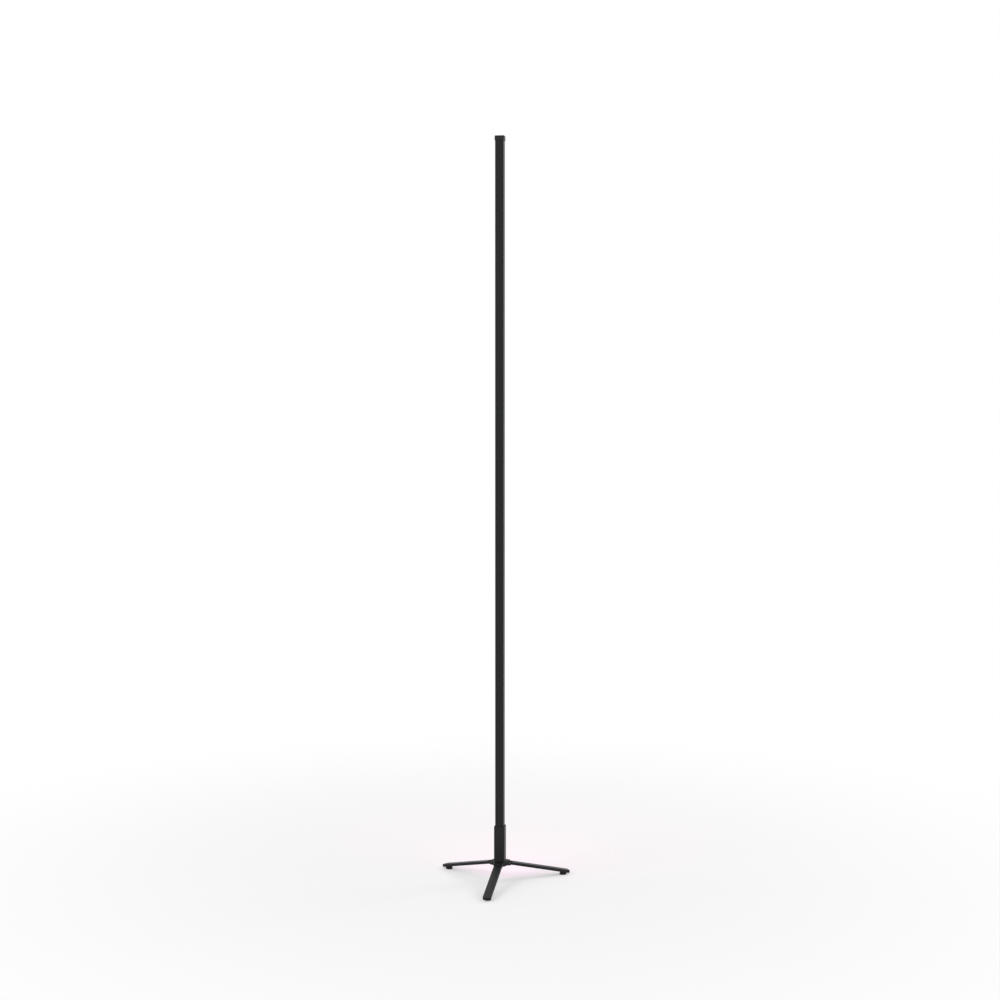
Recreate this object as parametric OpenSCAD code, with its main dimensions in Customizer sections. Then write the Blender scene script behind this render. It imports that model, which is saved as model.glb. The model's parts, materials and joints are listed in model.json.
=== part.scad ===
// Corner floor lamp: a slim square pole on a folding tripod. The pole is an open aluminium
// channel whose lit side faces the corner of a room (+Y); its plain back faces the room (-Y).
// The pole's axis is the Z axis and the floor is z = 0.

/* [Pole] */
// Height of the lamp's top above the floor
lamp_h = 1400; // [1000:10:1800]
// Outside width and depth of the square channel
pole_w = 16; // [15:0.5:20]
// Thickness of the channel's walls and of the web that carries the light strip
pole_wall = 1.4; // [1.2:0.1:1.8]
// Radius of the channel's long outer edges
pole_edge = 0.9; // [0.5:0.1:1.3]
// Width of the hollow duct between the room side and the web
duct_w = 6.6; // [4:0.2:7.4]
// Depth of that duct
duct_d = 4.2; // [3.4:0.2:4.6]
// Core diameter of the two screw ports beside the duct
port_d = 1.7; // [1.5:0.1:2]

/* [Light strip] */
// Width of the flexible strip
strip_w = 10; // [8:0.5:10.5]
// Thickness of the flexible strip
strip_t = 0.4; // [0.3:0.1:0.8]
// Width of the adhesive tape behind it
tape_w = 9; // [6:0.5:10]
// Thickness of the adhesive tape
tape_t = 0.2; // [0.1:0.05:0.4]
// Distance from one light to the next
led_pitch = 16.6; // [12:0.2:33]
// Side of a square light
led_w = 5; // [3:0.1:5.4]
// Height of a light
led_h = 1.5; // [1:0.1:2]
// Diameter of a light's round window
led_window_d = 3.8; // [2:0.1:4.4]
// Length of a strip resistor
resistor_l = 2; // [1:0.1:3]
// Width of a strip resistor
resistor_w = 1.2; // [0.6:0.1:2]
// Height of a strip resistor
resistor_h = 0.5; // [0.3:0.1:1]
// Distance from a light to the resistor above it
resistor_gap = 1.5; // [0.5:0.1:3]
// Depth of a light's window
led_window_t = 0.2; // [0.1:0.1:0.5]
// Distance from the pole's lower end to the strip's
strip_start = 3; // [1:0.5:6]
// Distance from the strip's upper end to the pole's
strip_end = 8; // [7:0.5:14]

/* [Diffuser] */
// Thickness of the opal cover
diffuser_t = 1.2; // [1:0.1:1.6]
// How far the cover's crown stands out of the channel's mouth
diffuser_rise = 1.2; // [0.8:0.1:1.6]
// Depth of the crown's foot below the channel's mouth
dome_sink = 0.4; // [0.2:0.1:0.6]
// Depth of the cover's side skirts inside the channel
skirt_d = 2.6; // [2.2:0.1:3.2]
// Reach of the snap lips on the skirts
lip_reach = 0.5; // [0.4:0.05:0.7]
// Height of the snap lips
lip_h = 0.9; // [0.7:0.1:1.2]

/* [Top cap] */
// Thickness of the cap's top
cap_t = 2.5; // [2:0.1:4]
// Wall of the cap's collar
cap_wall = 0.8; // [0.7:0.1:1.4]
// Depth of the collar over the pole's end
cap_collar = 6; // [4:0.5:10]
// Thickness of the cap's locating tongue
tongue_t = 4; // [2:0.5:4.5]
// Distance of that tongue from the channel's mouth
tongue_sink = 0.2; // [0.1:0.1:0.6]
// Diameter of the cap screws
cap_screw_d = 1.6; // [1.3:0.1:1.6]
// Length of the cap screws under their heads
cap_screw_l = 8; // [5:0.5:14]
// Diameter of the cap screws' countersunk heads
cap_head_d = 3.4; // [2.8:0.1:3.8]
// Width of the cross slots in those heads
cap_slot_w = 0.4; // [0.3:0.05:0.6]
// Depth of the cross slots
cap_slot_d = 0.6; // [0.3:0.1:0.7]

/* [Foot socket] */
// Height of the socket; the pole stands in what the controller leaves of it
socket_h = 68; // [62:1:90]
// Wall of the socket round the pole
socket_wall = 1.9; // [1.7:0.1:3]
// Radius of the socket's upright edges
socket_edge = 1.4; // [0.8:0.1:1.8]
// Width of the ledge that the pole's end rests on
ledge = 0.8; // [0.6:0.1:1.1]
// Thickness of the socket's floor
socket_floor = 4; // [3:0.5:6]
// Diameter of the two set screws that clamp the pole
set_screw_d = 3; // [2.5:0.5:4]
// Height of the set screws above the pocket's bottom
set_screw_z = 10; // [5:1:15]
// Across flats of the set screws' key sockets
set_key = 1.5; // [1.2:0.1:1.7]

/* [Controller] */
// Height of the controller board
board_h = 34; // [32:0.5:35]
// Room between the board's top and the pole's end
board_room = 2; // [1:0.5:5]
// Thickness of the board
board_t = 1; // [0.8:0.1:1.2]
// Gap behind the board for the parts on its back
board_back = 2; // [1.5:0.1:2.2]
// How far the board's edges reach into the grooves of the socket
groove_d = 0.7; // [0.5:0.05:0.8]
// Width of the radio module's metal can
module_w = 12; // [8:0.5:12.5]
// Height of the can along the board
module_h = 6.5; // [5:0.5:7]
// Thickness of the can
module_t = 1.9; // [1.5:0.1:2.2]
// Side of the processor on the board's back
chip_w = 5; // [4:0.5:6]
// Width of each of the three drivers beside the processor
driver_w = 2.6; // [2:0.1:3]
// Height of a driver along the board
driver_h = 4; // [3:0.5:6]
// Distance from one driver to the next
driver_pitch = 3.2; // [3.1:0.1:4]
// Thickness of the chips on the board's back
chip_t = 0.9; // [0.6:0.1:1.2]
// Diameter of the smoothing capacitor
capacitor_d = 3.4; // [3:0.1:3.6]
// Height of the smoothing capacitor
capacitor_h = 4.4; // [3:0.1:5.4]
// Width of the flat lead between the board and the strip
lead_w = 6; // [4:0.5:8]
// Thickness of the flat lead
lead_t = 0.5; // [0.3:0.1:0.8]
// Length of the lead's end on the board
lead_hold = 2.5; // [2:0.5:3]
// Length of its end on the strip
lead_joint = 5; // [3:0.5:10]
// Distance below the pole's end at which the lead reaches the strip's level
lead_turn = 0.5; // [0.2:0.1:0.8]

/* [Power button] */
// Diameter of the button
button_d = 7; // [6:0.5:8]
// How far the button stands out of the socket at rest
button_proud = 0.9; // [0.9:0.1:1.5]
// How far the button travels when it is pressed
button_travel = 0.8; // [0.5:0.1:0.8]
// Height of the button above the socket's floor
button_z = 25; // [24.5:0.5:26]
// Diameter of the button's stem
stem_d = 3; // [2.4:0.1:3.3]
// Reach of the collar that keeps the button in
collar_reach = 0.9; // [0.6:0.1:1.2]
// Thickness of that collar
collar_t = 1; // [0.8:0.1:1.5]
// Depth of the dish in the button's face
dish_depth = 0.3; // [0.2:0.1:0.5]
// Side of the switch under the button
switch_w = 6; // [5:0.5:6]
// Height of the switch's housing
switch_h = 3.5; // [3.3:0.1:4]
// Diameter of the switch's plunger
plunger_d = 3.4; // [3.4:0.1:4]
// Length of the plunger
plunger_l = 3.7; // [3.6:0.1:4.2]
// How far the plunger stands out of the switch
plunger_out = 2; // [1.5:0.1:2.2]

/* [Power inlet] */
// Diameter of the jack's barrel
jack_d = 8; // [7.5:0.1:8.4]
// Length of the barrel behind the socket's outer face
jack_l = 11; // [10.5:0.1:12]
// Diameter of the jack's flange
jack_flange_d = 10.4; // [9.4:0.1:11]
// Thickness of the flange
jack_flange_t = 1.2; // [0.8:0.1:1.6]
// Bore that the plug goes into
plug_d = 5.5; // [5:0.1:5.7]
// Depth of that bore
plug_depth = 9.5; // [9:0.1:9.7]
// Diameter of the centre pin
centre_pin_d = 2.1; // [1.7:0.1:2.5]
// Distance of that pin's tip inside the flange's face
centre_pin_sink = 1; // [0.5:0.1:2]
// Diameter of the jack's outer contact
contact_d = 1; // [0.8:0.1:1.2]
// Distance of that contact from the pin
contact_off = 2.4; // [2.2:0.1:2.6]
// How far the contact reaches into the jack
contact_in = 1; // [0.5:0.1:1.2]
// Height of the jack above the socket's floor
jack_z = 8.5; // [7.5:0.1:8.8]
// Across flats of the jack's nut
nut_flats = 10; // [9.6:0.1:10.4]
// Thickness of the jack's nut
nut_t = 2; // [1.5:0.1:2.6]

/* [Hub] */
// Distance of each hinge pin from the pole's axis
hinge_r = 17; // [16:0.5:24]
// Radius of the hub's ears round the hinge pins
ear_r = 4.5; // [4.4:0.1:5.2]
// How far the ears stand above and below the hub's arms
ear_boss = 0.2; // [0.1:0.1:0.4]
// Radius of the hub's round core
core_r = 13; // [11:0.5:14]
// Diameter of the hinge pins
pin_d = 3; // [2.5:0.1:3.5]
// Diameter of the screws that hold the socket to the hub
hub_screw_d = 3; // [2.5:0.1:3.5]
// Distance of those screws from the pole's axis
hub_screw_x = 5.6; // [5:0.1:6]
// Diameter of their heads
hub_head_d = 5.5; // [5:0.1:6]
// Height of their heads
hub_head_h = 2; // [1.5:0.1:2.5]
// Across flats of their key sockets
hub_key = 2.5; // [2:0.1:3]
// Distance of the heads inside the hub's underside
hub_head_sink = 0.5; // [0.2:0.1:1.5]
// Distance of the screws' ends below the floor of the controller's bay
hub_screw_end = 0.4; // [0.2:0.1:1]
// Distance of the hinge pins' ends inside the ears
pin_inset = 0.2; // [0.1:0.1:0.5]

/* [Legs] */
// Length of a leg from its hinge pin to its end
leg_len = 127; // [90:1:220]
// Width of the flat bar
leg_w = 15.5; // [14.5:0.5:20]
// Thickness of the flat bar
leg_t = 5.5; // [4.5:0.1:6]
// Slope of the spread legs below the level
leg_slope = 13; // [9:1:20]
// Radius of the bar's long edges
leg_edge = 1; // [0.5:0.1:1.6]
// Radius of the corners at the bar's end
leg_corner = 3; // [1:0.5:6]
// Width of the knuckle between the hub's ears
knuckle_w = 7.5; // [6:0.5:8]
// Radius of the knuckle
knuckle_r = 4.1; // [3.8:0.1:4.2]
// Thickness of the friction washers beside the knuckle
washer_t = 0.5; // [0.3:0.1:0.8]
// Outside diameter of the friction washers
washer_d = 7.4; // [6:0.1:7.6]

/* [Feet] */
// Height of the bar's lower edge above the floor at the leg's end
toe_lift = 2.5; // [1.5:0.1:4]
// Distance from the leg's end to the middle of the foot
foot_inset = 10.5; // [9:0.5:20]
// Diameter of the rubber foot
foot_d = 13; // [9:0.5:14]
// Diameter of the foot's stem
foot_stem_d = 5; // [4:0.5:6]
// Length of the stem inside the bar
foot_stem_l = 3; // [2:0.5:3.5]

/* [Clearances] */
// Gap round the pole in the socket and in the cap
pole_gap = 0.1; // [0.05:0.05:0.2]
// Gap between the diffuser and the walls of the channel
diffuser_gap = 0.1; // [0.05:0.05:0.15]
// Gap between the diffuser's ends and the pieces there
end_gap = 0.3; // [0.1:0.1:0.5]
// Radial gap of a screw, jack or stem in its hole
screw_gap = 0.05; // [0.02:0.01:0.1]
// Radial gap of the hinge pins in the hub
pin_gap = 0.02; // [0.01:0.01:0.05]
// Radial gap of the knuckles on the hinge pins
knuckle_gap = 0.05; // [0.03:0.01:0.1]
// Gap between a knuckle and the end of its slot in the hub
knuckle_room = 0.45; // [0.25:0.1:0.65]
// Gap beside each friction washer
washer_gap = 0.05; // [0.02:0.01:0.1]
// Gap between the hub's ears and a leg's shoulders
shoulder_gap = 0.3; // [0.2:0.1:1]
// Gap between a spread leg's shoulder and the hub's stop
stop_gap = 0.1; // [0.05:0.05:0.2]
// Gap round the button and the plunger in their guides
button_gap = 0.15; // [0.1:0.05:0.2]
// Gap between the capacitor and the socket's wall
part_gap = 0.3; // [0.2:0.05:0.4]
// Gap between the lead and the switch below it
lead_gap = 1; // [0.5:0.1:2]
// Gap of the board in its grooves
board_gap = 0.05; // [0.02:0.01:0.1]

/* [Hidden] */

$fn = 96;
// Overlap of a cut past the face that it opens
cut = 0.5;
// Overlap of a sloping cut past its face
graze = 0.01;

// The legs' directions seen from above: front to the room, right and left beside the corner
leg_angles = [-90, 30, 150];

// Colours
black_paint = "#17181a";
black_plastic = "#1d1e20";
soft_black = "#121212";
opal = "#f4f1ea";
board_green = "#1d5b3a";
strip_white = "#ece9df";
led_cream = "#f3e6a8";
silver = "#b9bcc0";
dark_chip = "#2a2b2e";
dark_steel = "#3b3c40";
gold = "#c9a452";
tape_red = "#b5483a";

// Levels, from the floor up
hinge_z = toe_lift + leg_len * sin(leg_slope) + leg_t / 2 * cos(leg_slope);
hub_h = 2 * (ear_r - ear_boss);
hub_bottom = hinge_z - hub_h / 2;
hub_top = hinge_z + hub_h / 2;
bay_bottom = hub_top + socket_floor;
socket_top = hub_top + socket_h;
pole_bottom = bay_bottom + board_h + board_room;
pole_top = lamp_h - cap_t;
collar_bottom = pole_top - cap_collar;

// The channel's inside
inner_w = pole_w - 2 * pole_wall;
duct_y = -pole_w / 2 + pole_wall;
web_y = duct_y + duct_d + pole_wall;
port_x = (duct_w / 2 + pole_w / 2) / 2;
port_y = duct_y + duct_d / 2;

// The strip lies on the web
strip_y = web_y + tape_t;
led_y = strip_y + strip_t;
strip_bottom = pole_bottom + strip_start;
strip_top = pole_top - strip_end;
led_first = socket_top + led_pitch / 2;
led_count = floor((collar_bottom - led_w - led_first) / led_pitch) + 1;

// The diffuser's dome is the arc over its own width and rise
diffuser_w = inner_w - 2 * diffuser_gap;
mouth_y = pole_w / 2;
dome_foot = mouth_y - dome_sink;
dome_rise = diffuser_rise + dome_sink;
dome_r = (pow(diffuser_w / 2, 2) + pow(dome_rise, 2)) / (2 * dome_rise);
dome_y = dome_foot + dome_rise - dome_r;
skirt_y = dome_foot - skirt_d;

// The socket
socket_w = pole_w + 2 * pole_gap + 2 * socket_wall;
bay_w = pole_w - 2 * ledge;
board_w = bay_w + 2 * groove_d;
board_y = -bay_w / 2 + board_back;
board_face = board_y + board_t;

// The power button and its switch
switch_face = board_face + switch_h;
plunger_top = switch_face + plunger_out;
plunger_foot = plunger_top - plunger_l;

// The hinges, measured along a leg from its pin
slot_w = knuckle_w + 2 * (washer_t + 2 * washer_gap);
ear_w = (leg_w - slot_w) / 2;
shoulder = ear_r + shoulder_gap;
stop_x = shoulder - stop_gap;
slot_end = hinge_r - knuckle_r - knuckle_room;
foot_x = leg_len - foot_inset;

// A square with round corners, centred
module rounded_rect(w, d, r) {
    square([w - 2 * r, d], center = true);
    square([w, d - 2 * r], center = true);
    for (x = [-1, 1], y = [-1, 1])
        translate([x * (w / 2 - r), y * (d / 2 - r)]) circle(r = r);
}

// Stands an outline up from one level to another
module upright(from, to) {
    translate([0, 0, from]) linear_extrude(to - from) children();
}

// Puts a piece whose own Z points out of the socket's corner side at height z
module out_of_rear(z, y = 0) {
    translate([0, y, z]) rotate([-90, 0, 0]) children();
}

// Puts a piece in a leg's own frame: X along the leg, Y along its hinge pin
module at_hinge(angle) {
    rotate([0, 0, angle]) translate([hinge_r, 0, hinge_z]) rotate([0, leg_slope, 0]) children();
}

// A rod along the hinge pin's axis
module across(r, l) {
    rotate([90, 0, 0]) cylinder(r = r, h = l, center = true);
}

module hexagon_bar(flats, h) {
    cylinder(r = flats / 2 / cos(30), h = h, $fn = 6);
}

module pole_profile() {
    color(black_paint) upright(pole_bottom, pole_top) difference() {
        rounded_rect(pole_w, pole_w, pole_edge);
        translate([-duct_w / 2, duct_y]) square([duct_w, duct_d]);
        for (side = [-1, 1]) translate([side * port_x, port_y]) circle(d = port_d);
        translate([-inner_w / 2, web_y]) square([inner_w, pole_w]);
        // the grooves that the diffuser's lips snap into
        translate([-inner_w / 2 - lip_reach, skirt_y - diffuser_gap])
            square([inner_w + 2 * lip_reach, lip_h + 2 * diffuser_gap]);
    }
}

module diffuser() {
    color(opal) upright(socket_top + end_gap, collar_bottom - end_gap) {
        intersection() {
            translate([0, dome_y]) difference() {
                circle(r = dome_r);
                circle(r = dome_r - diffuser_t);
            }
            translate([-diffuser_w / 2, dome_foot - diffuser_t])
                square([diffuser_w, diffuser_t + 2 * dome_rise]);
        }
        for (side = [0, 1]) mirror([side, 0]) {
            translate([diffuser_w / 2 - diffuser_t, skirt_y]) square([diffuser_t, skirt_d]);
            translate([diffuser_w / 2 - diffuser_t, skirt_y])
                square([diffuser_t + lip_reach, lip_h]);
        }
    }
}

module top_cap() {
    outer = pole_w + 2 * pole_gap + 2 * cap_wall;
    color(black_plastic) difference() {
        upright(collar_bottom, lamp_h) rounded_rect(outer, outer, pole_edge + cap_wall);
        upright(collar_bottom - cut, pole_top) difference() {
            square(pole_w + 2 * pole_gap, center = true);
            // the tongue that fills the channel's mouth is left standing
            translate([-diffuser_w / 2, mouth_y - tongue_t - tongue_sink])
                square([diffuser_w, tongue_t]);
        }
        for (side = [-1, 1]) translate([side * port_x, port_y, 0]) {
            upright(pole_top - cut, lamp_h + cut) circle(d = cap_screw_d + 2 * screw_gap);
            translate([0, 0, lamp_h - head_cone()])
                cylinder(d1 = cap_screw_d, d2 = cap_head_d + 2 * screw_gap, h = head_cone() + graze);
        }
    }
}

// Height of a countersunk head whose sides lean at 45 degrees
function head_cone() = (cap_head_d - cap_screw_d) / 2;

module top_cap_screws() {
    color(dark_steel) for (side = [-1, 1]) translate([side * port_x, port_y, lamp_h]) difference() {
        union() {
            translate([0, 0, -head_cone()])
                cylinder(d1 = cap_screw_d, d2 = cap_head_d, h = head_cone());
            translate([0, 0, -cap_screw_l])
                cylinder(d = cap_screw_d, h = cap_screw_l - head_cone() / 2);
        }
        for (turn = [0, 90]) rotate([0, 0, turn])
            cube([cap_head_d * 0.6, cap_slot_w, 2 * cap_slot_d], center = true);
    }
}

module led_strip_board() {
    color(strip_white) upright(strip_bottom, strip_top)
        translate([-strip_w / 2, strip_y]) square([strip_w, strip_t]);
}

module strip_tape() {
    color(tape_red) upright(strip_bottom, strip_top)
        translate([-tape_w / 2, web_y]) square([tape_w, tape_t]);
}

// Repeats a piece at every light of the strip
module along_strip() {
    for (i = [0 : led_count - 1]) translate([0, led_y, led_first + i * led_pitch]) children();
}

module led_chips() {
    color(led_cream) along_strip() difference() {
        translate([-led_w / 2, 0, -led_w / 2]) cube([led_w, led_h, led_w]);
        translate([0, led_h - led_window_t, 0]) rotate([-90, 0, 0])
            cylinder(d = led_window_d, h = led_window_t + cut);
    }
}

module strip_resistors() {
    color(dark_chip) along_strip()
        translate([-resistor_l / 2, 0, led_w / 2 + resistor_gap])
            cube([resistor_l, resistor_h, resistor_w]);
}

// A flat lead that lies on the board's face and steps over to the strip's face
module strip_lead() {
    start = bay_bottom + button_z + switch_w / 2 + lead_gap;
    path = [
        [board_face, start], [board_face, start + lead_hold],
        [led_y, pole_bottom - lead_turn], [led_y, strip_bottom + lead_joint]
    ];
    back = [for (i = [len(path) - 1 : -1 : 0]) path[i] + [lead_t, 0]];
    color("#c23b2e") translate([-lead_w / 2, 0, 0]) rotate([90, 0, 90])
        linear_extrude(lead_w) polygon(concat(path, back));
}

module foot_socket() {
    color(black_paint) difference() {
        upright(hub_top, socket_top) rounded_rect(socket_w, socket_w, socket_edge);
        upright(pole_bottom, socket_top + cut) square(pole_w + 2 * pole_gap, center = true);
        upright(bay_bottom, pole_bottom + cut) square(bay_w, center = true);
        // grooves that hold the controller board by its edges
        upright(bay_bottom, pole_bottom + cut)
            translate([-board_w / 2 - board_gap, board_y - board_gap])
                square([board_w + 2 * board_gap, board_t + 2 * board_gap]);
        out_of_rear(bay_bottom + jack_z) cylinder(d = jack_d + 2 * screw_gap, h = socket_w);
        out_of_rear(bay_bottom + button_z) cylinder(d = button_d + 2 * button_gap, h = socket_w);
        for (side = [-1, 1]) {
            translate([0, 0, pole_bottom + set_screw_z]) rotate([0, side * 90, 0])
                cylinder(d = set_screw_d + 2 * screw_gap, h = socket_w);
            translate([side * hub_screw_x, 0, hub_top - cut])
                cylinder(d = hub_screw_d + 2 * screw_gap, h = socket_floor + 2 * cut);
        }
    }
}

module socket_set_screws() {
    length = socket_wall + pole_gap;
    color(dark_steel) for (side = [-1, 1])
        translate([side * pole_w / 2, 0, pole_bottom + set_screw_z]) rotate([0, side * 90, 0])
            difference() {
                cylinder(d = set_screw_d, h = length);
                translate([0, 0, length / 2]) hexagon_bar(set_key, length);
            }
}

module controller_board() {
    color(board_green) translate([-board_w / 2, board_y, bay_bottom])
        cube([board_w, board_t, board_h]);
}

module radio_module() {
    // halfway between the jack's nut and the switch
    middle = (jack_z + nut_flats / 2 + button_z - switch_w / 2) / 2;
    color(silver) translate([-module_w / 2, board_face, bay_bottom + middle - module_h / 2])
        cube([module_w, module_t, module_h]);
}

module board_chips() {
    color(dark_chip) {
        translate([-chip_w / 2, board_y - chip_t, bay_bottom + jack_z])
            cube([chip_w, chip_t, chip_w]);
        for (i = [-1 : 1])
            translate([i * driver_pitch - driver_w / 2, board_y - chip_t, bay_bottom + button_z])
                cube([driver_w, chip_t, driver_h]);
    }
}

module smoothing_capacitor() {
    x = (bay_w - capacitor_d) / 2 - part_gap;
    color(silver) out_of_rear(bay_bottom + button_z, board_face) translate([x, 0, 0])
        cylinder(d = capacitor_d, h = capacitor_h);
}

module switch_housing() {
    bore_l = switch_face - plunger_foot + button_travel + 2 * button_gap;
    color(dark_chip) out_of_rear(bay_bottom + button_z, board_face) difference() {
        translate([-switch_w / 2, -switch_w / 2, 0]) cube([switch_w, switch_w, switch_h]);
        translate([0, 0, switch_h - bore_l]) cylinder(d = plunger_d + 2 * button_gap, h = bore_l + cut);
    }
}

module switch_plunger() {
    color("#e8e8e8") out_of_rear(bay_bottom + button_z, plunger_foot)
        cylinder(d = plunger_d, h = plunger_l);
}

module power_button() {
    face = socket_w / 2 + button_proud;
    collar = bay_w / 2 - button_gap;
    dish_r = 2 * button_d;
    color(soft_black) out_of_rear(bay_bottom + button_z) difference() {
        union() {
            translate([0, 0, plunger_top])
                cylinder(d = stem_d, h = collar - collar_t / 2 - plunger_top);
            translate([0, 0, collar - collar_t])
                cylinder(d = button_d + 2 * collar_reach, h = collar_t);
            translate([0, 0, collar - collar_t]) cylinder(d = button_d, h = face - collar + collar_t);
        }
        // a shallow dish for the fingertip
        translate([0, 0, face + dish_r - dish_depth]) sphere(r = dish_r);
    }
}

module dc_jack() {
    face = socket_w / 2;
    color(black_plastic) out_of_rear(bay_bottom + jack_z) difference() {
        union() {
            translate([0, 0, face - jack_l]) cylinder(d = jack_d, h = jack_l);
            translate([0, 0, face]) cylinder(d = jack_flange_d, h = jack_flange_t);
        }
        translate([0, 0, face + jack_flange_t - plug_depth])
            cylinder(d = plug_d, h = plug_depth + cut);
        translate([0, 0, face - jack_l - cut])
            cylinder(d = centre_pin_d + 2 * screw_gap, h = jack_l);
        translate([0, -contact_off, face - jack_l - cut])
            cylinder(d = contact_d + 2 * screw_gap, h = contact_in + cut);
    }
}

module dc_contacts() {
    tip = socket_w / 2 + jack_flange_t - centre_pin_sink;
    color(gold) out_of_rear(bay_bottom + jack_z, board_face) {
        cylinder(d = centre_pin_d, h = tip - board_face);
        translate([0, -contact_off, 0])
            cylinder(d = contact_d, h = socket_w / 2 - jack_l + contact_in - board_face);
    }
}

module jack_nut() {
    color(silver) out_of_rear(bay_bottom + jack_z, bay_w / 2 - nut_t) difference() {
        hexagon_bar(nut_flats, nut_t);
        translate([0, 0, -cut]) cylinder(d = jack_d + 2 * screw_gap, h = nut_t + 2 * cut);
    }
}

module hub() {
    color(black_paint) difference() {
        union() {
            upright(hub_bottom, hub_top) difference() {
                union() {
                    circle(r = core_r);
                    for (a = leg_angles)
                        rotate(a) translate([0, -leg_w / 2]) square([hinge_r, leg_w]);
                }
                for (a = leg_angles)
                    rotate(a) translate([slot_end, -slot_w / 2]) square([hinge_r, slot_w]);
            }
            for (a = leg_angles, side = [-1, 1])
                at_hinge(a) translate([0, side * (slot_w + ear_w) / 2, 0]) ear();
        }
        for (a = leg_angles) at_hinge(a) across(pin_d / 2 + pin_gap, leg_w + 2 * cut);
        for (side = [-1, 1]) translate([side * hub_screw_x, 0, hub_bottom - cut]) {
            cylinder(d = hub_screw_d + 2 * screw_gap, h = hub_h + 2 * cut);
            cylinder(d = hub_head_d + 4 * screw_gap, h = hub_head_h + hub_head_sink + cut);
        }
    }
}

// An ear round a hinge pin, with the flat that the spread leg's shoulder comes up against
module ear() {
    across(ear_r, ear_w);
    translate([0, -ear_w / 2, ear_boss]) cube([stop_x, ear_w, ear_r - 3 * ear_boss]);
}

module hub_screws() {
    head = hub_bottom + hub_head_sink;
    reach = bay_bottom - hub_screw_end;
    color(dark_steel) for (side = [-1, 1]) translate([side * hub_screw_x, 0, head]) difference() {
        union() {
            cylinder(d = hub_head_d, h = hub_head_h);
            cylinder(d = hub_screw_d, h = reach - head);
        }
        translate([0, 0, -cut]) hexagon_bar(hub_key, cut + hub_head_h * 0.7);
    }
}

module hinge_pins() {
    color(dark_steel) for (a = leg_angles) at_hinge(a) across(pin_d / 2, leg_w - 2 * pin_inset);
}

module friction_washers() {
    middle = knuckle_w / 2 + washer_gap + washer_t / 2;
    color(black_plastic) for (a = leg_angles, side = [-1, 1])
        at_hinge(a) translate([0, side * middle, 0]) difference() {
            across(washer_d / 2, washer_t);
            across(pin_d / 2 + knuckle_gap, washer_t + 2 * cut);
        }
}

// A flat bar with a knuckle at the hub and a blind hole for its foot
module leg(angle) {
    color(black_paint) at_hinge(angle) difference() {
        union() {
            intersection() {
                translate([shoulder, 0, 0]) rotate([90, 0, 90])
                    linear_extrude(leg_len - shoulder) rounded_rect(leg_w, leg_t, leg_edge);
                linear_extrude(leg_t, center = true)
                    translate([leg_len / 2, 0]) rounded_rect(leg_len, leg_w, leg_corner);
            }
            translate([0, -knuckle_w / 2, -leg_t / 2]) cube([shoulder + leg_edge, knuckle_w, leg_t]);
            across(knuckle_r, knuckle_w);
        }
        across(pin_d / 2 + knuckle_gap, knuckle_w + 2 * cut);
        translate([foot_x, 0, -leg_t / 2 - cut])
            cylinder(d = foot_stem_d + 2 * screw_gap, h = foot_stem_l + screw_gap + cut);
    }
}

// A rubber foot under a leg's end, cut level where it stands on the floor
module foot_pad(angle) {
    drop = 2 * (toe_lift + foot_inset);
    color(soft_black) difference() {
        at_hinge(angle) translate([foot_x, 0, -leg_t / 2]) {
            cylinder(d = foot_stem_d, h = foot_stem_l);
            translate([0, 0, -drop]) cylinder(d = foot_d, h = drop);
        }
        rotate([0, 0, angle]) translate([0, -foot_d, -3 * drop])
            cube([2 * (hinge_r + leg_len), 2 * foot_d, 3 * drop]);
    }
}

module leg_front() { leg(leg_angles[0]); }
module leg_left() { leg(leg_angles[2]); }
module leg_right() { leg(leg_angles[1]); }
module foot_pad_front() { foot_pad(leg_angles[0]); }
module foot_pad_left() { foot_pad(leg_angles[2]); }
module foot_pad_right() { foot_pad(leg_angles[1]); }

pole_profile();
diffuser();
top_cap();
top_cap_screws();
led_strip_board();
strip_tape();
led_chips();
strip_resistors();
strip_lead();
foot_socket();
socket_set_screws();
controller_board();
radio_module();
board_chips();
smoothing_capacitor();
switch_housing();
switch_plunger();
power_button();
dc_jack();
dc_contacts();
jack_nut();
hub();
hub_screws();
hinge_pins();
friction_washers();
leg_front();
leg_left();
leg_right();
foot_pad_front();
foot_pad_left();
foot_pad_right();
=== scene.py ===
"""Corner floor lamp: a slim black pole on three folding legs, lit on the side that faces the corner."""

import json
import math

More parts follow.
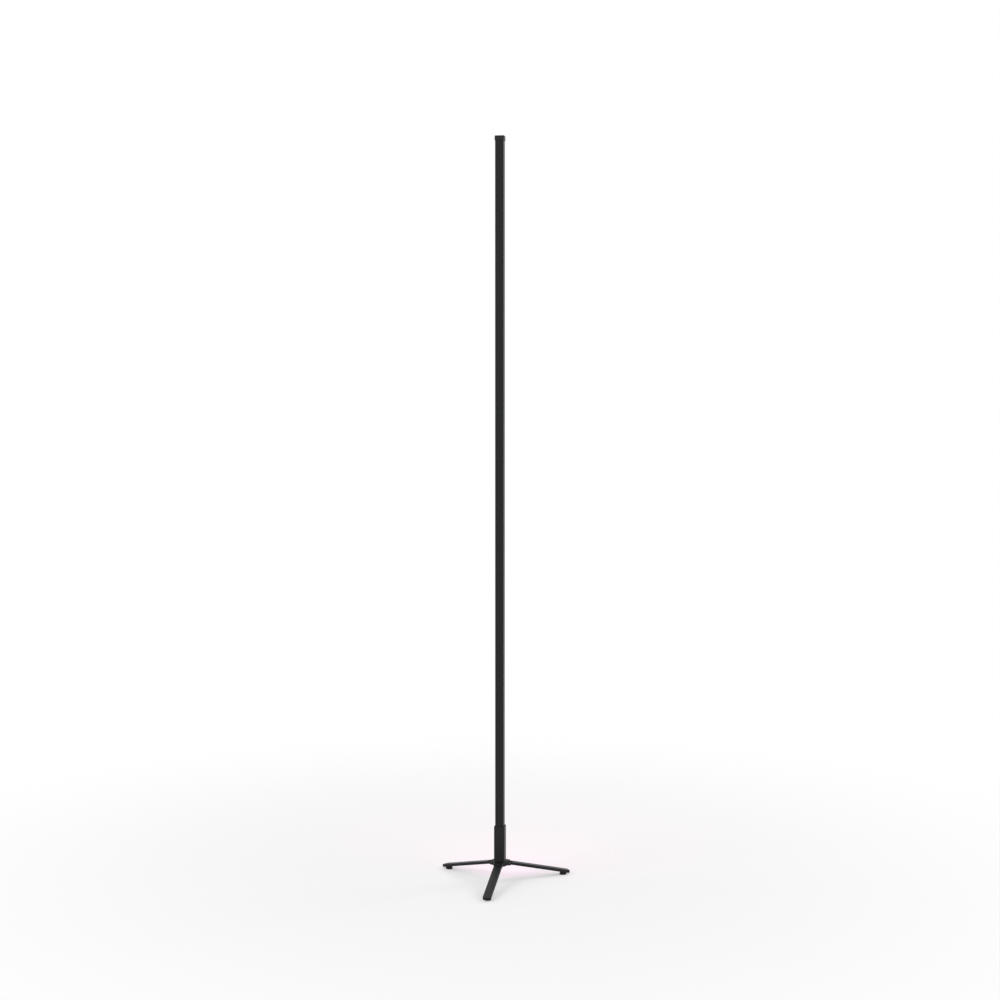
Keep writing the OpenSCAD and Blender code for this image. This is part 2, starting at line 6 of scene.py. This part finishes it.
import bmesh
import bpy
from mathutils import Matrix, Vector


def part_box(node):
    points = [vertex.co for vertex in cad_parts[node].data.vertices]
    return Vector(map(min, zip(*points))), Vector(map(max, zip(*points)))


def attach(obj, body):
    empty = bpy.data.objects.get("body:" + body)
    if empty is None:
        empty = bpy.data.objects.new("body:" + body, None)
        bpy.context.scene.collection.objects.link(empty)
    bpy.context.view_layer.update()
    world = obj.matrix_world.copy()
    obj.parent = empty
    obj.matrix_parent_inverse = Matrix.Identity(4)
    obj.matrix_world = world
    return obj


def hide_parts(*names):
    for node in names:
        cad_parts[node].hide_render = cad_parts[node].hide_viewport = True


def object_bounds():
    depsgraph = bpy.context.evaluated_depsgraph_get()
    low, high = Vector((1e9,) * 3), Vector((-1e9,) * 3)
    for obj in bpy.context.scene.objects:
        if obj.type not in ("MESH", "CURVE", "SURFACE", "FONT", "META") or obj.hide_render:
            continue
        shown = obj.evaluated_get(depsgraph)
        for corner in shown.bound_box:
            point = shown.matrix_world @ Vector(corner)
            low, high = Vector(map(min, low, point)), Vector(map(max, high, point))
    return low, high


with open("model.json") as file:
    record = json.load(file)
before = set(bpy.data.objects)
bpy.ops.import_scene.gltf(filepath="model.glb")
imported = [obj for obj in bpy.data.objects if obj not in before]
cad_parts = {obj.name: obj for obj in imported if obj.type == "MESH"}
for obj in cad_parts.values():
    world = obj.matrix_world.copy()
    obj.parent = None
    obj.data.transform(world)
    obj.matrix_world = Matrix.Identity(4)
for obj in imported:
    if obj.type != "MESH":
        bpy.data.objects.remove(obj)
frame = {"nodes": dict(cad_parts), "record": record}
cad_low, cad_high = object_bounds()


# --- Camera --------------------------------------------------------------------------------------
# The lamp is seen from the room, from hip height and a little to the right of the pole's plain side.
# The lens is long enough to keep the pole's edges nearly parallel.
eye_distance = 3.3
eye_height = 0.94
eye_turn = math.radians(10)
aim_height = 0.725
lens_mm = 63.5
film_width_mm = 36

camera = bpy.data.objects.new("camera", bpy.data.cameras.new("camera"))
camera.data.lens = lens_mm
camera.data.sensor_width = film_width_mm
camera.location = (
    eye_distance * math.sin(eye_turn),
    -eye_distance * math.cos(eye_turn),
    eye_height,
)
aim = Vector((0, 0, aim_height)) - camera.location
camera.rotation_euler = aim.to_track_quat("-Z", "Y").to_euler()
bpy.context.scene.collection.objects.link(camera)
bpy.context.scene.camera = camera
bpy.context.scene.view_settings.view_transform = "Standard"


# --- Studio --------------------------------------------------------------------------------------
# Three large soft boxes and an even white sky. The pale floor takes the lamp's shadow and turns to
# pure white a metre and a half away, so that there is no horizon.
soft_box_aim = Vector((0, 0, 0.65))
soft_boxes = [
    # name, place, side in metres, watts
    ("key_light", (-2.3, -2.3, 2.5), 1.8, 46),
    ("fill_light", (2.6, -1.7, 1.5), 1.6, 16),
    ("rim_light", (2.5, 1.7, 2.2), 1.2, 20),
]
for name, place, side, watts in soft_boxes:
    light = bpy.data.lights.new(name, "AREA")
    light.shape = "SQUARE"
    light.size = side
    light.energy = watts
    box_light = bpy.data.objects.new(name, light)
    box_light.location = place
    aim = soft_box_aim - Vector(place)
    box_light.rotation_euler = aim.to_track_quat("-Z", "Y").to_euler()
    bpy.context.scene.collection.objects.link(box_light)


def reckon(tree, operation, *values):
    """A math node's result on the values, each a number or another node's output."""
    node = tree.nodes.new("ShaderNodeMath")
    node.operation = operation
    for socket, value in zip(node.inputs, values):
        if isinstance(value, bpy.types.NodeSocket):
            tree.links.new(value, socket)
        else:
            socket.default_value = value
    return node.outputs[0]


def seen_directly(tree):
    """1 for the camera's rays and for what metal and glass reflect, 0 for the light on things."""
    path = tree.nodes.new("ShaderNodeLightPath")
    seen = reckon(tree, "MAXIMUM", path.outputs["Is Camera Ray"], path.outputs["Is Glossy Ray"])
    return reckon(tree, "MAXIMUM", seen, path.outputs["Is Transmission Ray"])


sky_level = 0.62
sky = bpy.data.worlds.new("sky")
bpy.context.scene.world = sky
sky.use_nodes = True
tree = sky.node_tree
shown = tree.nodes["Background"]
shown.inputs["Color"].default_value = (1, 1, 1, 1)
shown.inputs["Strength"].default_value = 1
lighting = tree.nodes.new("ShaderNodeBackground")
lighting.inputs["Color"].default_value = (1, 1, 1, 1)
lighting.inputs["Strength"].default_value = sky_level
choose = tree.nodes.new("ShaderNodeMixShader")
tree.links.new(seen_directly(tree), choose.inputs["Fac"])
tree.links.new(lighting.outputs[0], choose.inputs[1])
tree.links.new(shown.outputs[0], choose.inputs[2])
tree.links.new(choose.outputs[0], tree.nodes["World Output"].inputs["Surface"])

floor_reach = 14.0
floor_tone = 0.94
floor_roughness = 0.7
floor_fades_from = 0.2
floor_fades_to = 1.5
white_at_foot = 0.36
ground = bmesh.new()
bmesh.ops.create_grid(ground, x_segments=1, y_segments=1, size=floor_reach)
mesh = bpy.data.meshes.new("floor")
ground.to_mesh(mesh)
ground.free()
floor = bpy.data.objects.new("floor", mesh)
bpy.context.scene.collection.objects.link(floor)

paint = bpy.data.materials.new("pale_floor")
paint.use_nodes = True
tree = paint.node_tree
matt = tree.nodes["Principled BSDF"]
matt.inputs["Base Color"].default_value = (floor_tone, floor_tone, floor_tone, 1)
matt.inputs["Roughness"].default_value = floor_roughness
white = tree.nodes.new("ShaderNodeEmission")
white.inputs["Color"].default_value = (1, 1, 1, 1)
where = tree.nodes.new("ShaderNodeTexCoord")
away = tree.nodes.new("ShaderNodeVectorMath")
away.operation = "LENGTH"
tree.links.new(where.outputs["Object"], away.inputs[0])
fade = tree.nodes.new("ShaderNodeMapRange")
fade.interpolation_type = "SMOOTHSTEP"
fade.inputs["From Min"].default_value = floor_fades_from
fade.inputs["From Max"].default_value = floor_fades_to
fade.inputs["To Min"].default_value = white_at_foot
tree.links.new(away.outputs["Value"], fade.inputs["Value"])
blend = tree.nodes.new("ShaderNodeMixShader")
tree.links.new(reckon(tree, "MULTIPLY", fade.outputs["Result"], seen_directly(tree)), blend.inputs["Fac"])
tree.links.new(matt.outputs[0], blend.inputs[1])
tree.links.new(white.outputs[0], blend.inputs[2])
tree.links.new(blend.outputs[0], tree.nodes["Material Output"].inputs["Surface"])
mesh.materials.append(paint)


# --- Pole ----------------------------------------------------------------------------------------
# One aluminium extrusion, an open square channel, powder coated satin black. The die leaves faint
# lines along it, and the baked powder a fine even grain, with lighter specks painted in as glints.
MM = 0.001


def surface(name, colour, roughness, metallic=0.0, specular=0.5):
    """A new material with plain values, its node tree and its surface shader."""
    material = bpy.data.materials.new(name)
    material.use_nodes = True
    shader = material.node_tree.nodes["Principled BSDF"]
    shader.inputs["Base Color"].default_value = (*colour, 1)
    shader.inputs["Roughness"].default_value = roughness
    shader.inputs["Metallic"].default_value = metallic
    shader.inputs["Specular IOR Level"].default_value = specular
    return material, material.node_tree, shader


def grain(tree, per_metre, stretch=(1, 1, 1), detail=3.0, roughness=0.55):
    """Noise with so many grains to the metre, drawn out along the axes as stretch says."""
    where = tree.nodes.new("ShaderNodeTexCoord")
    drawn = tree.nodes.new("ShaderNodeMapping")
    drawn.inputs["Scale"].default_value = stretch
    noise = tree.nodes.new("ShaderNodeTexNoise")
    noise.inputs["Scale"].default_value = per_metre
    noise.inputs["Detail"].default_value = detail
    noise.inputs["Roughness"].default_value = roughness
    tree.links.new(where.outputs["Object"], drawn.inputs["Vector"])
    tree.links.new(drawn.outputs["Vector"], noise.inputs["Vector"])
    return noise.outputs["Fac"]


def spread(tree, value, low, high, start=0.3, end=0.7):
    """The value's range from start to end, laid out from low to high."""
    scale = tree.nodes.new("ShaderNodeMapRange")
    for socket, number in zip(("From Min", "From Max", "To Min", "To Max"), (start, end, low, high)):
        scale.inputs[socket].default_value = number
    tree.links.new(value, scale.inputs["Value"])
    return scale.outputs["Result"]


def tint(tree, value, stops):
    """Colours along a value from 0 to 1, as (place, colour) pairs."""
    ramp = tree.nodes.new("ShaderNodeValToRGB")
    band = ramp.color_ramp
    while len(band.elements) < len(stops):
        band.elements.new(0.5)
    for element, (place, colour) in zip(band.elements, stops):
        element.position = place
        element.color = (*colour, 1)
    tree.links.new(value, ramp.inputs["Fac"])
    return ramp.outputs["Color"]


def relief(tree, shader, height, depth, strength=1.0, under=None):
    """Raises the surface by up to depth where height is 1, over another relief if one is given."""
    bump = tree.nodes.new("ShaderNodeBump")
    bump.inputs["Strength"].default_value = strength
    bump.inputs["Distance"].default_value = depth
    tree.links.new(height, bump.inputs["Height"])
    if under is not None:
        tree.links.new(under, bump.inputs["Normal"])
    tree.links.new(bump.outputs["Normal"], shader.inputs["Normal"])
    return bump.outputs["Normal"]


patches_per_metre = 24
specks_per_metre = 1900
peel_per_metre = 620
speck_depth = 0.05 * MM
peel_depth = 0.06 * MM
# How many times lighter than the coat the specks are painted: painted glints, standing in for light
# caught on the peel's peaks.
painted_glint_lift = 2.6


def powder_coat(name, colour, roughness, stretch=(1, 1, 1)):
    """Baked black powder: orange peel, a fine even grain with lighter specks painted in as glints, and a
    slightly uneven gloss.
    """
    material, tree, shader = surface(name, colour, roughness, specular=0.24)
    patches = grain(tree, patches_per_metre, stretch, detail=5)
    speck_bumps_and_glints = grain(tree, specks_per_metre, detail=2)
    # Painted glints: the fine specks lighten the base colour in place of light caught on the peel's
    # peaks. The same specks also raise a real relief below.
    glint_colour = tuple(painted_glint_lift * part for part in colour)
    tone = tint(tree, reckon(tree, "MULTIPLY", patches, speck_bumps_and_glints), [(0.16, colour), (0.42, glint_colour)])
    tree.links.new(tone, shader.inputs["Base Color"])
    gloss = spread(tree, patches, roughness - 0.08, roughness + 0.09)
    tree.links.new(gloss, shader.inputs["Roughness"])
    peel = relief(tree, shader, grain(tree, peel_per_metre, stretch, detail=1), peel_depth, 0.6)
    relief(tree, shader, speck_bumps_and_glints, speck_depth, 0.7, under=peel)
    return material


same_point = 0.002 * MM
same_plane = math.radians(0.5)
sharp_from = math.radians(30)
rim_steps = 4


def softened(node, radius, steps=2, on_rim=None, rim_radius=0.0):
    """A copy of a CAD piece with its hard edges rounded, as moulding, casting or deburring leaves them.

    Where on_rim is given, the hard edges between points that pass it get the larger rim radius."""
    shape = bmesh.new()
    shape.from_mesh(frame["nodes"][node].data)
    bmesh.ops.remove_doubles(shape, verts=shape.verts, dist=same_point)
    bmesh.ops.dissolve_limit(
        shape, angle_limit=same_plane, verts=shape.verts, edges=shape.edges, delimit={"SHARP"}
    )
    if on_rim:
        rim = [
            edge for edge in shape.edges
            if edge.calc_face_angle() > sharp_from and all(on_rim(end.co) for end in edge.verts)
        ]
        bmesh.ops.bevel(
            shape, geom=rim, affect="EDGES", offset=rim_radius, offset_type="OFFSET",
            segments=rim_steps, profile=0.5, clamp_overlap=False, material=-1,
        )
    mesh = bpy.data.meshes.new(node + "_soft")
    shape.to_mesh(mesh)
    shape.free()
    piece = bpy.data.objects.new(node + "_soft", mesh)
    bpy.context.scene.collection.objects.link(piece)
    for face in mesh.polygons:
        face.use_smooth = True
    edges = piece.modifiers.new("edges", "BEVEL")
    edges.width = radius
    edges.segments = steps
    edges.limit_method = "ANGLE"
    edges.angle_limit = sharp_from
    flats = piece.modifiers.new("flats", "WEIGHTED_NORMAL")
    flats.mode = "FACE_AREA"
    flats.weight = 80
    flats.keep_sharp = False
    return piece


def put_on(piece, material, body, slot, *nodes):
    """Dresses a new piece, fixes it to a body and lets it stand for CAD nodes."""
    piece.data.materials.clear()
    piece.data.materials.append(material)
    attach(piece, body)
    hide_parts(*nodes)


die_lines = (1, 1, 0.04)
pole_coat = powder_coat("pole_coat", (0.0042, 0.0044, 0.0050), 0.42, stretch=die_lines)
pole = softened("pole_profile", radius=0.12 * MM)
put_on(pole, pole_coat, "stand", "black_aluminium", "pole_profile")


# --- Diffuser ------------------------------------------------------------------------------------
# An extruded strip of opal plastic that snaps into the channel. The lights behind it shine through,
# each with its own colour, from cyan at the top to magenta at the foot, with soft bright spots.
led_pitch = 16.6 * MM
led_size = 5 * MM
opal_half_width = 6.5 * MM
light_level = 1.45
between_lights = 0.86
at_the_sides = 0.66
bright_middle = 0.25
glow_bands = [
    # height as a share of the diffuser's, colour
    (0.02, (0.62, 0.03, 0.42)),
    (0.20, (0.85, 0.07, 0.50)),
    (0.33, (1.00, 0.24, 0.52)),
    (0.42, (1.00, 0.36, 0.30)),
    (0.50, (1.00, 0.52, 0.07)),
    (0.61, (0.95, 0.78, 0.06)),
    (0.73, (0.45, 0.85, 0.12)),
    (0.83, (0.06, 0.72, 0.38)),
    (0.95, (0.06, 0.62, 0.86)),
]


def dress(node, material):
    """Gives a CAD piece its material in every slot."""
    mesh = frame["nodes"][node].data
    mesh.materials.clear()
    mesh.materials.append(material)


opal_low, opal_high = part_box("diffuser")
opal_height = opal_high.z - opal_low.z
opal, tree, shader = surface("lit_opal", (0.11, 0.11, 0.11), 0.34)
where = tree.nodes.new("ShaderNodeTexCoord")
axes = tree.nodes.new("ShaderNodeSeparateXYZ")
tree.links.new(where.outputs["Object"], axes.inputs[0])
climb = spread(tree, axes.outputs["Z"], 0, 1, opal_low.z, opal_high.z)
colours = tint(tree, climb, glow_bands)

first_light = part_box("led_chips")[0].z + led_size / 2
turn_per_metre = 2 * math.pi / led_pitch
wave = reckon(tree, "MULTIPLY_ADD", axes.outputs["Z"], turn_per_metre, -turn_per_metre * first_light)
spots = spread(tree, reckon(tree, "COSINE", wave), between_lights, 1.0, -1, 1)

aside = reckon(tree, "ABSOLUTE", axes.outputs["X"])
across = spread(tree, aside, 1.0, at_the_sides, bright_middle * opal_half_width, opal_half_width)

shine = tree.nodes.new("ShaderNodeVectorMath")
shine.operation = "SCALE"
tree.links.new(colours, shine.inputs[0])
tree.links.new(reckon(tree, "MULTIPLY", spots, across), shine.inputs["Scale"])
tree.links.new(shine.outputs["Vector"], shader.inputs["Emission Color"])
shader.inputs["Emission Strength"].default_value = light_level
relief(tree, shader, grain(tree, 900, (1, 1, 0.1)), 0.02 * MM, 0.3)
dress("diffuser", opal)

# What the strip throws on the floor behind the lamp, band by band
thrown_watts = 0.16
only_floor = bpy.data.collections.new("only_floor")
only_floor.objects.link(floor)
for place, colour in glow_bands:
    light = bpy.data.lights.new("thrown_light", "AREA")
    light.shape = "RECTANGLE"
    light.size = 2 * opal_half_width
    light.size_y = opal_height / len(glow_bands)
    light.energy = thrown_watts
    light.color = colour
    band_light = bpy.data.objects.new("thrown_light", light)
    band_light.location = (0, opal_high.y + MM, opal_low.z + place * opal_height)
    band_light.rotation_euler = (math.radians(90), 0, 0)
    band_light.visible_camera = False
    band_light.visible_glossy = False
    band_light.light_linking.receiver_collection = only_floor
    bpy.context.scene.collection.objects.link(band_light)


# --- Light strip ---------------------------------------------------------------------------------
# A flexible circuit with white solder mask, stuck to the channel's web with red-backed tape. It
# carries a row of square lights with yellow resin windows, and a resistor above each.
mask, tree, shader = surface("white_solder_mask", (0.78, 0.77, 0.73), 0.38)
relief(tree, shader, grain(tree, 700, (1, 1, 0.3)), 0.02 * MM, 0.4)
dress("led_strip_board", mask)

film, tree, shader = surface("tape_film", (0.46, 0.07, 0.05), 0.45)
tone = tint(tree, grain(tree, 160), [(0.3, (0.40, 0.06, 0.04)), (0.7, (0.52, 0.10, 0.07))])
tree.links.new(tone, shader.inputs["Base Color"])
dress("strip_tape", film)

resin, tree, shader = surface("phosphor_resin", (0.85, 0.68, 0.16), 0.22)
tone = tint(tree, grain(tree, 900), [(0.3, (0.80, 0.60, 0.12)), (0.7, (0.90, 0.76, 0.24))])
tree.links.new(tone, shader.inputs["Base Color"])
dress("led_chips", resin)

moulded, tree, shader = surface("moulded_resin", (0.018, 0.018, 0.02), 0.5)
relief(tree, shader, grain(tree, 2600), 0.01 * MM, 0.6)
dress("strip_resistors", moulded)


# --- Top cap -------------------------------------------------------------------------------------
# A moulded black cap with a thin collar over the pole's end. Two countersunk screws go through it
# into the screw ports of the extrusion.
def moulded_plastic(name, colour, roughness, grains=2200):
    """Black plastic from an etched mould: an even, very fine matt texture."""
    material, tree, shader = surface(name, colour, roughness, specular=0.28)
    relief(tree, shader, grain(tree, grains, detail=2), 0.03 * MM, 0.6)
    gloss = spread(tree, grain(tree, 60), roughness - 0.05, roughness + 0.06)
    tree.links.new(gloss, shader.inputs["Roughness"])
    return material


skin = 0.02 * MM
outer_part = 0.9


def square_top(node):
    """A test for the points on the outer edge of a square piece's top."""
    low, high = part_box(node)
    return lambda point: point.z > high.z - skin and max(abs(point.x), abs(point.y)) > outer_part * high.x


cap_plastic = moulded_plastic("cap_plastic", (0.0055, 0.0055, 0.006), 0.5)
cap = softened("top_cap", radius=0.2 * MM, steps=3, on_rim=square_top("top_cap"), rim_radius=0.55 * MM)
put_on(cap, cap_plastic, "stand", "black_plastic", "top_cap")


def blackened_steel(name, colour, roughness):
    """Black oxide on a turned screw or pin: dark metal with fine turning marks."""
    material, tree, shader = surface(name, colour, roughness, metallic=0.85)
    gloss = spread(tree, grain(tree, 300), roughness - 0.08, roughness + 0.1)
    tree.links.new(gloss, shader.inputs["Roughness"])
    relief(tree, shader, grain(tree, 3000, detail=1), 0.008 * MM, 0.5)
    return material


screw_steel = blackened_steel("screw_steel", (0.075, 0.075, 0.08), 0.34)
cap_screws = softened("top_cap_screws", radius=0.08 * MM)
put_on(cap_screws, screw_steel, "stand", "black_steel", "top_cap_screws")


# --- Foot socket ---------------------------------------------------------------------------------
# A die-cast square socket, powder coated like the pole. The pole's lower end stands in it, clamped
# by two set screws; below, it holds the controller.
foot_coat = powder_coat("foot_coat", (0.0052, 0.0053, 0.0058), 0.47)
socket_rim = square_top("foot_socket")
socket = softened("foot_socket", radius=0.35 * MM, steps=3, on_rim=socket_rim, rim_radius=0.6 * MM)
put_on(socket, foot_coat, "stand", "black_coated_metal", "foot_socket")
set_screws = softened("socket_set_screws", radius=0.1 * MM)
put_on(set_screws, screw_steel, "stand", "black_steel", "socket_set_screws")


# --- Controller ----------------------------------------------------------------------------------
# A small green board on edge in the socket's grooves: radio module in a tinned can, chips behind,
# a smoothing capacitor, and a flat lead that goes up to the light strip.
green, tree, shader = surface("green_solder_mask", (0.02, 0.12, 0.05), 0.3)
weave = grain(tree, 500, (1, 1, 3))
tone = tint(tree, weave, [(0.42, (0.014, 0.10, 0.04)), (0.55, (0.03, 0.16, 0.07))])
tree.links.new(tone, shader.inputs["Base Color"])
dress("controller_board", green)
dress("board_chips", moulded)
dress("switch_housing", moulded)

tinned, tree, shader = surface("tinned_steel", (0.58, 0.58, 0.58), 0.32, metallic=1.0)
tree.links.new(spread(tree, grain(tree, 400, (1, 1, 6)), 0.26, 0.42), shader.inputs["Roughness"])
for node in ("radio_module", "smoothing_capacitor", "jack_nut"):
    dress(node, tinned)

insulation, tree, shader = surface("wire_insulation", (0.5, 0.03, 0.02), 0.5)
relief(tree, shader, grain(tree, 700), 0.02 * MM, 0.4)
dress("strip_lead", insulation)


# --- Power button --------------------------------------------------------------------------------
# A round soft-touch button with a shallow dish, in a hole in the back of the socket. Under it the
# white plunger of the push switch goes down into its housing.
button_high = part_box("power_button")[1]


def on_button_face(point):
    """True on the button's outer face."""
    return point.y > button_high.y - skin


button_plastic = moulded_plastic("button_plastic", (0.011, 0.011, 0.012), 0.6, grains=3200)
button = softened("power_button", radius=0.2 * MM, steps=3, on_rim=on_button_face, rim_radius=0.4 * MM)
put_on(button, button_plastic, "button", "button_plastic", "power_button")

plunger, tree, shader = surface("white_nylon", (0.75, 0.75, 0.72), 0.42)
relief(tree, shader, grain(tree, 1500), 0.01 * MM, 0.5)
dress("switch_plunger", plunger)


# --- Power inlet ---------------------------------------------------------------------------------
# A round DC jack, pushed through the back of the socket from outside and held by its nut, with a
# brass centre pin.
jack_low, jack_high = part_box("dc_jack")
jack_axis = Vector((0, (jack_low.z + jack_high.z) / 2))


def on_flange(point):
    """True on the outer edge of the jack's round flange."""
    return point.y > jack_high.y - skin and (point.xz - jack_axis).length > outer_part * jack_high.x


jack_plastic = moulded_plastic("jack_plastic", (0.007, 0.007, 0.0075), 0.4)
jack = softened("dc_jack", radius=0.15 * MM, steps=3, on_rim=on_flange, rim_radius=0.4 * MM)
put_on(jack, jack_plastic, "stand", "black_plastic", "dc_jack")

brass, tree, shader = surface("contact_brass", (0.72, 0.50, 0.20), 0.28, metallic=1.0)
tree.links.new(spread(tree, grain(tree, 600), 0.22, 0.38), shader.inputs["Roughness"])
dress("dc_contacts", brass)


# --- Hub -----------------------------------------------------------------------------------------
# A cast three-armed hub under the socket, held to it by two socket-head screws from below. Each arm
# ends in two ears round a hinge pin; the flat above the pin stops the spread leg. Black nylon washers
# beside each knuckle make the fold stiff.
hub_core = 13 * MM
arm_width = 15.5 * MM
pin_hole = 2.2 * MM
folds = {
    joint["name"]: (Vector(joint["pos_m"]), Vector(joint["axis"]))
    for joint in frame["record"]["behaviour"]["joints"] if joint["type"] == "hinge"
}


def place_on_arm(point, pin):
    """How far a point lies out along an arm of the hub, and how far from its middle line."""
    outwards = pin.to_2d().normalized()
    return point.to_2d().dot(outwards), abs(outwards.cross(point.to_2d()))


def on_hub_outline(point):
    """True on the sides of the arms and on the round core between them, away from the pins' holes."""
    for pin, axis in folds.values():
        along, across = place_on_arm(point, pin)
        from_pin = point - pin
        if (from_pin - from_pin.project(axis)).length < pin_hole:
            return False
        if along > 0 and across < arm_width / 2 + skin:
            return across > arm_width / 2 - skin
    return point.to_2d().length > hub_core - skin


hub = softened("hub", radius=0.2 * MM, steps=3, on_rim=on_hub_outline, rim_radius=0.4 * MM)
put_on(hub, foot_coat, "stand", "black_coated_metal", "hub")
hub_screws = softened("hub_screws", radius=0.15 * MM)
put_on(hub_screws, screw_steel, "stand", "black_steel", "hub_screws")
hinge_pins = softened("hinge_pins", radius=0.25 * MM)
put_on(hinge_pins, screw_steel, "stand", "black_steel", "hinge_pins")
nylon = moulded_plastic("washer_nylon", (0.009, 0.009, 0.009), 0.5, grains=2600)
washers = softened("friction_washers", radius=0.05 * MM)
put_on(washers, nylon, "stand", "black_plastic", "friction_washers")


# --- Legs ----------------------------------------------------------------------------------------
# Flat steel bars with round edges, each with a knuckle in the hub's ears, powder coated after
# welding. They slope 13 degrees down from the hub to the feet.
leg_reach = -cad_low[1]
toe_zone = 4.6 * MM


def toe_of(pin):
    """A test for the points at the outer end of the leg that folds about this pin."""
    return lambda point: place_on_arm(point, pin)[0] > leg_reach - toe_zone


leg_coat = powder_coat("leg_coat", (0.0046, 0.0047, 0.0053), 0.44)
for side in ("front", "left", "right"):
    node, body = "leg_" + side, side + "_leg"
    pin = folds[body + "_fold"][0]
    leg = softened(node, radius=0.2 * MM, steps=3, on_rim=toe_of(pin), rim_radius=0.8 * MM)
    put_on(leg, leg_coat, body, "black_coated_metal", node)


# --- Feet ----------------------------------------------------------------------------------------
# Moulded rubber buttons pressed into the legs from below, cut level so that the sole lies flat. Each
# sole has a narrow rim round a shallow moulded recess.
sole_rim = 1.6 * MM
sole_recess = 0.5 * MM


def on_sole(point):
    """True where a foot touches the floor."""
    return point.z < skin


rubber, tree, shader = surface("foot_rubber", (0.008, 0.008, 0.008), 0.8, specular=0.22)
relief(tree, shader, grain(tree, 1600), 0.05 * MM, 0.6)
tone = tint(tree, grain(tree, 90), [(0.35, (0.009, 0.009, 0.009)), (0.7, (0.02, 0.02, 0.019))])
tree.links.new(tone, shader.inputs["Base Color"])
for side in ("front", "left", "right"):
    node = "foot_pad_" + side
    pad = softened(node, radius=0.2 * MM, steps=3, on_rim=on_sole, rim_radius=0.8 * MM)
    shape = bmesh.new()
    shape.from_mesh(pad.data)
    sole = min(shape.faces, key=lambda face: face.calc_center_median().z)
    bmesh.ops.inset_individual(shape, faces=[sole], thickness=sole_rim)
    bmesh.ops.inset_individual(shape, faces=[sole], thickness=sole_recess, depth=-sole_recess)
    shape.to_mesh(pad.data)
    shape.free()
    put_on(pad, rubber, side + "_leg", "black_rubber", node)
